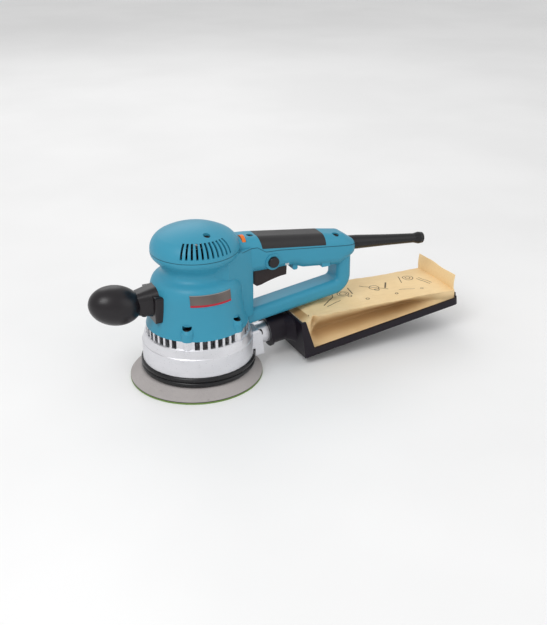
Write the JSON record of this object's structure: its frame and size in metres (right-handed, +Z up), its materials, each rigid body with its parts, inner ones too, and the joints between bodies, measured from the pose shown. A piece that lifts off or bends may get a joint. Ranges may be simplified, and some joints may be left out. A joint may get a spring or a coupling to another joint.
{
  "type": "orbital sander",
  "caption": "Electric random-orbit sander with a D-shaped rear handle, a front knob, a round foam pad and a paper dust bag in a clip-on holder.",
  "frame": {"origin": "centre of the pad's sanding face, on the pad's own axis", "axes": "+Z up along the motor, +X to the rear handle and the dust bag, the front knob towards -X"},
  "size_m": [0.4477, 0.15, 0.1788],
  "materials": {
    "teal_plastic": "satin moulded nylon",
    "inlay_rubber": "ribbed soft rubber",
    "plate_foil": "dark printed foil",
    "black_steel": "blackened",
    "bright_steel": "ground",
    "cast_aluminium": "fine die-cast",
    "black_rubber": "smooth glossy rubber",
    "black_plastic": "matte",
    "knob_plastic": "soft-touch",
    "trigger_plastic": "satin",
    "orange_plastic": "glossy",
    "holder_plastic": "fine grain",
    "grey_foam": "closed-cell foam",
    "green_hook": "hook layer",
    "kraft_paper": "unbleached paper",
    "grey_card": "pressed card",
    "laminated_iron": "stacked sheets",
    "copper": "enamelled wire",
    "brass": "stamped",
    "carbon": "pressed carbon",
    "circuit_board": "lacquered"
  },
  "bodies": {
    "tool_body": {"motor_housing": "teal_plastic", "top_cover": "teal_plastic", "handle_inlay": "inlay_rubber", "name_plate": "plate_foil", "housing_screws": "black_steel", "cover_screws": "black_steel", "fan_housing": "cast_aluminium", "dust_skirt": "black_rubber", "dust_nozzle": "cast_aluminium", "nozzle_screws": "black_steel", "fan_baffle": "black_plastic", "front_grip_upper": "knob_plastic", "front_grip_lower": "knob_plastic", "front_grip_bolt": "bright_steel", "front_grip_screws": "black_steel", "lower_bearing": "bright_steel", "top_bearing": "bright_steel", "end_frame": "black_plastic", "stator_core": "laminated_iron", "field_windings": "copper", "brush_holders": "brass", "carbon_brushes": "carbon", "brush_springs": "bright_steel", "switch_body": "black_plastic", "switch_terminals": "brass", "trigger_pin": "bright_steel", "trigger_spring": "bright_steel", "speed_control": "black_plastic", "control_board": "circuit_board", "cord_guard": "black_rubber", "cord_clamp": "black_plastic", "clamp_screws": "black_steel"},
    "rotor": {"motor_shaft": "bright_steel", "rotor_core": "laminated_iron", "rotor_windings": "copper", "commutator": "copper", "cooling_fan": "black_plastic", "dust_fan": "black_plastic", "eccentric": "bright_steel", "balance_weight": "laminated_iron", "pad_bearing": "bright_steel"},
    "pad": {"pad_spindle": "bright_steel", "backing_plate": "black_plastic", "pad_foam": "grey_foam", "hook_face": "green_hook", "pad_washer": "bright_steel", "pad_bolt": "black_steel"},
    "trigger": {"trigger": "trigger_plastic"},
    "lock_button": {"lock_button": "knob_plastic"},
    "speed_dial": {"speed_dial": "orange_plastic"},
    "dust_unit": {"bag_holder": "holder_plastic", "nozzle_seal": "black_rubber", "bag_card": "grey_card", "paper_bag": "kraft_paper"}
  },
  "joints": [
    {"name": "rotor_spin", "type": "hinge", "parent": "tool_body", "child": "rotor", "pos_m": [0.00275, 0, 0.05], "axis": [0, 0, 1], "continuous": true},
    {"name": "pad_spin", "type": "hinge", "parent": "rotor", "child": "pad", "pos_m": [0, 0, 0.0265], "axis": [0, 0, 1], "continuous": true},
    {"name": "trigger_pull", "type": "hinge", "parent": "tool_body", "child": "trigger", "pos_m": [0.10575, 0, 0.121], "axis": [0, 1, 0], "range_deg": [0, 9.5], "stiffness_Nm_per_rad": 1.2, "springref_deg": -2.86, "deforming": ["trigger_spring"]},
    {"name": "lock_press", "type": "slide", "parent": "tool_body", "child": "lock_button", "axis": [0, 1, 0], "range_m": [0, 0.003], "stiffness_N_per_m": 600, "springref_m": -0.0005},
    {"name": "dial_turn", "type": "hinge", "parent": "tool_body", "child": "speed_dial", "pos_m": [0.05475, -0.0072, 0.1512], "axis": [1, 0, 0], "range_deg": [-135, 135]},
    {"name": "dust_unit_pull", "type": "slide", "parent": "tool_body", "child": "dust_unit", "axis": [0.9914, 0, 0.1305], "range_m": [0, 0.045]}
  ]
}
